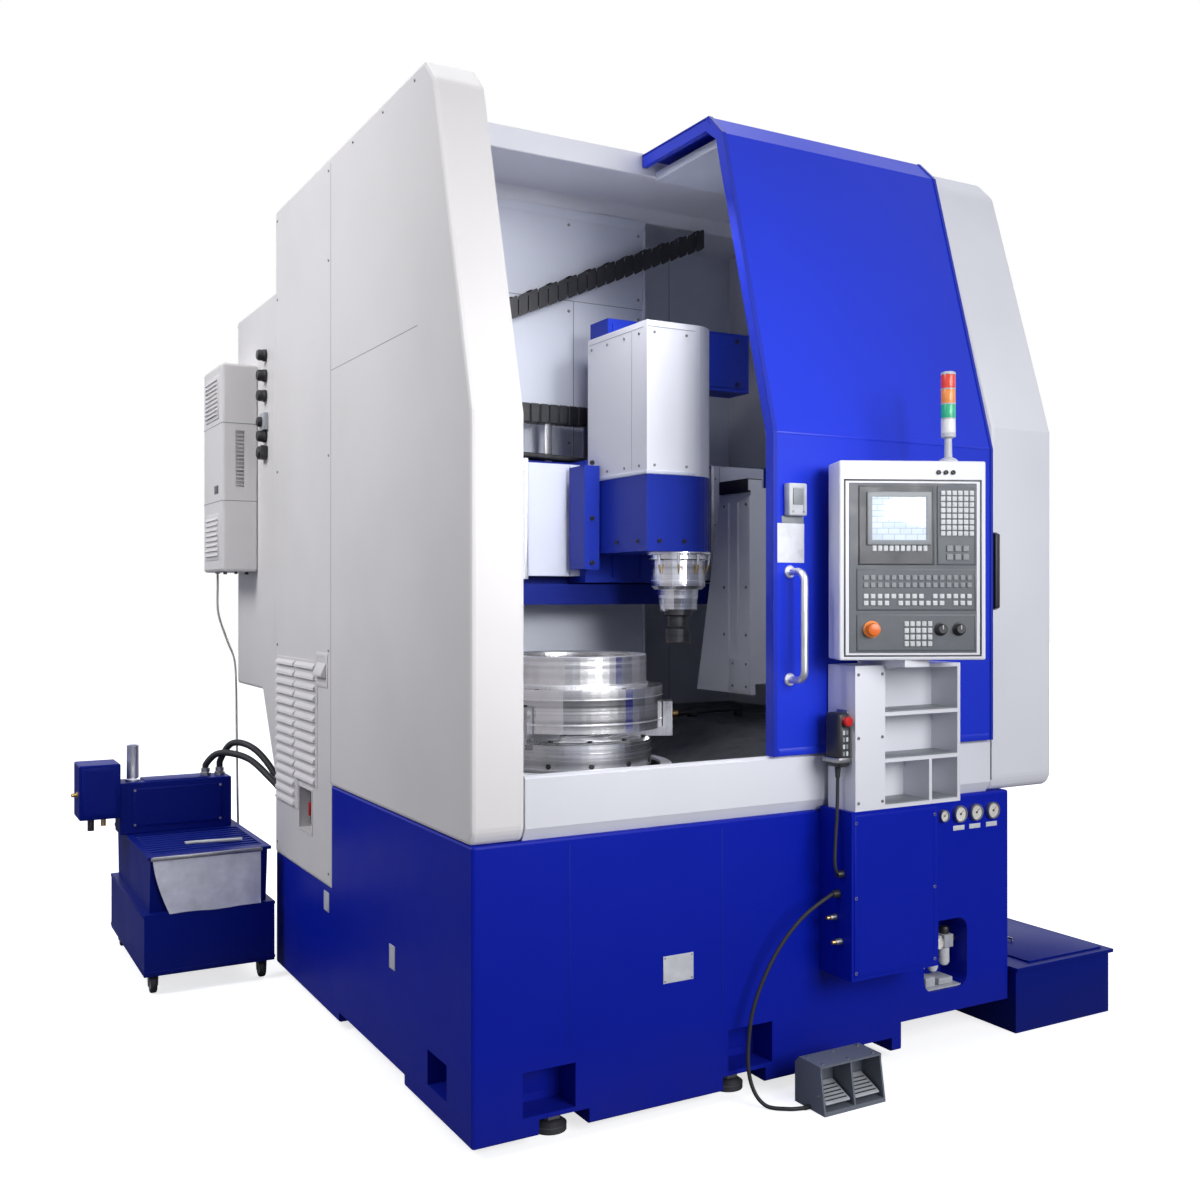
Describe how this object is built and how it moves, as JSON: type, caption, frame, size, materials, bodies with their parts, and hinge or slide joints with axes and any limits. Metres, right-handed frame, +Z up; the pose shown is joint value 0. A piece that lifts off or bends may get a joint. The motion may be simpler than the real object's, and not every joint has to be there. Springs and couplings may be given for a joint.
{
  "type": "cnc vertical lathe",
  "caption": "Enclosed vertical lathe with a sliding guard door, a three-jaw chuck on an upright axis, a milling head on a cross rail, a swivelling console, a coolant tank and a filter cart.",
  "frame": {"origin": "on the floor, under the middle of the bounding box", "axes": "+Z up, -Y towards the operator, +X to the operator's right; the milling head travels along X"},
  "size_m": [3.2462, 3.0744, 3.13],
  "materials": {
    "white_paint": "smooth satin enamel",
    "blue_paint": "satin enamel",
    "grey_paint": "satin enamel",
    "dark_iron": "oiled",
    "bright_steel": "machined",
    "grey_plastic": "textured",
    "lamp_plastic": "clear coloured lenses",
    "caster_rubber": "matt",
    "hose_rubber": "matt black",
    "clear_hose": "translucent",
    "filter_paper": "non-woven filter sheet"
  },
  "bodies": {
    "machine": {"base_casting": "blue_paint", "levelling_pad_1": "dark_iron", "levelling_pad_2": "dark_iron", "levelling_pad_3": "dark_iron", "levelling_pad_4": "dark_iron", "levelling_pad_5": "dark_iron", "levelling_pad_6": "dark_iron", "left_side_housing": "white_paint", "right_side_housing": "white_paint", "front_sill": "white_paint", "roof_panel": "white_paint", "fixed_front_guard": "grey_paint", "rear_housing": "grey_paint", "electrical_cabinet": "white_paint", "cabinet_cooler": "white_paint", "louvre_panel": "white_paint", "chip_pan": "dark_iron", "cross_rail": "blue_paint", "left_way_cover_1": "white_paint", "right_way_cover_1": "white_paint", "shelf_cabinet": "white_paint", "duct_box": "blue_paint", "foot_switch": "grey_paint", "coolant_tank": "blue_paint", "cart_tank": "blue_paint", "cart_filter_box": "blue_paint", "cart_pump_box": "blue_paint", "caster_1": "caster_rubber", "caster_2": "caster_rubber", "caster_3": "caster_rubber", "caster_4": "caster_rubber", "magazine_guard": "grey_paint", "cable_duct": "hose_rubber", "pendant": "grey_plastic", "filter_paper": "filter_paper", "switch_cord": "hose_rubber", "pendant_cord": "hose_rubber", "cart_hose_1": "hose_rubber", "cart_hose_2": "hose_rubber", "drain_hose": "clear_hose"},
    "door": {"door_panel": "blue_paint", "door_handle": "bright_steel", "door_switch": "grey_plastic"},
    "saddle": {"saddle": "blue_paint", "left_way_cover_3": "white_paint", "right_way_cover_3": "white_paint"},
    "left_cover": {"left_way_cover_2": "white_paint"},
    "right_cover": {"right_way_cover_2": "white_paint"},
    "head": {"head_cover": "white_paint", "head_housing": "blue_paint"},
    "tool_spindle": {"spindle_nose": "bright_steel", "tool_holder": "dark_iron"},
    "chuck": {"chuck_body": "bright_steel", "chuck_jaw_1": "bright_steel", "chuck_jaw_2": "bright_steel", "chuck_jaw_3": "bright_steel", "clamped_ring": "bright_steel"},
    "console": {"console_housing": "white_paint", "console_panel": "grey_plastic", "signal_tower": "lamp_plastic"}
  },
  "joints": [
    {"name": "door_slide", "type": "slide", "parent": "machine", "child": "door", "axis": [-1, 0, 0], "range_m": [0, 0.83]},
    {"name": "saddle_slide", "type": "slide", "parent": "machine", "child": "saddle", "axis": [-1, 0, 0], "range_m": [-0.069, 0.424]},
    {"name": "left_cover_slide", "type": "slide", "parent": "machine", "child": "left_cover", "axis": [-1, 0, 0], "range_m": [-0.0345, 0.212]},
    {"name": "right_cover_slide", "type": "slide", "parent": "machine", "child": "right_cover", "axis": [-1, 0, 0], "range_m": [-0.0345, 0.212]},
    {"name": "head_slide", "type": "slide", "parent": "saddle", "child": "head", "axis": [0, 0, 1], "range_m": [-0.27, 0.45]},
    {"name": "tool_spin", "type": "hinge", "parent": "head", "child": "tool_spindle", "pos_m": [0.14115, -0.56277, 1.68], "axis": [0, 0, 1], "continuous": true},
    {"name": "chuck_spin", "type": "hinge", "parent": "machine", "child": "chuck", "pos_m": [-0.28285, -0.56277, 1.06], "axis": [0, 0, 1], "continuous": true},
    {"name": "console_swivel", "type": "hinge", "parent": "machine", "child": "console", "pos_m": [0.44815, -1.37977, 1.332], "axis": [0, 0, 1], "range_deg": [-5, 55]}
  ],
  "couplings": [
    {"joint": "left_cover_slide", "follows": "saddle_slide", "ratio": 0.5},
    {"joint": "right_cover_slide", "follows": "saddle_slide", "ratio": 0.5}
  ]
}
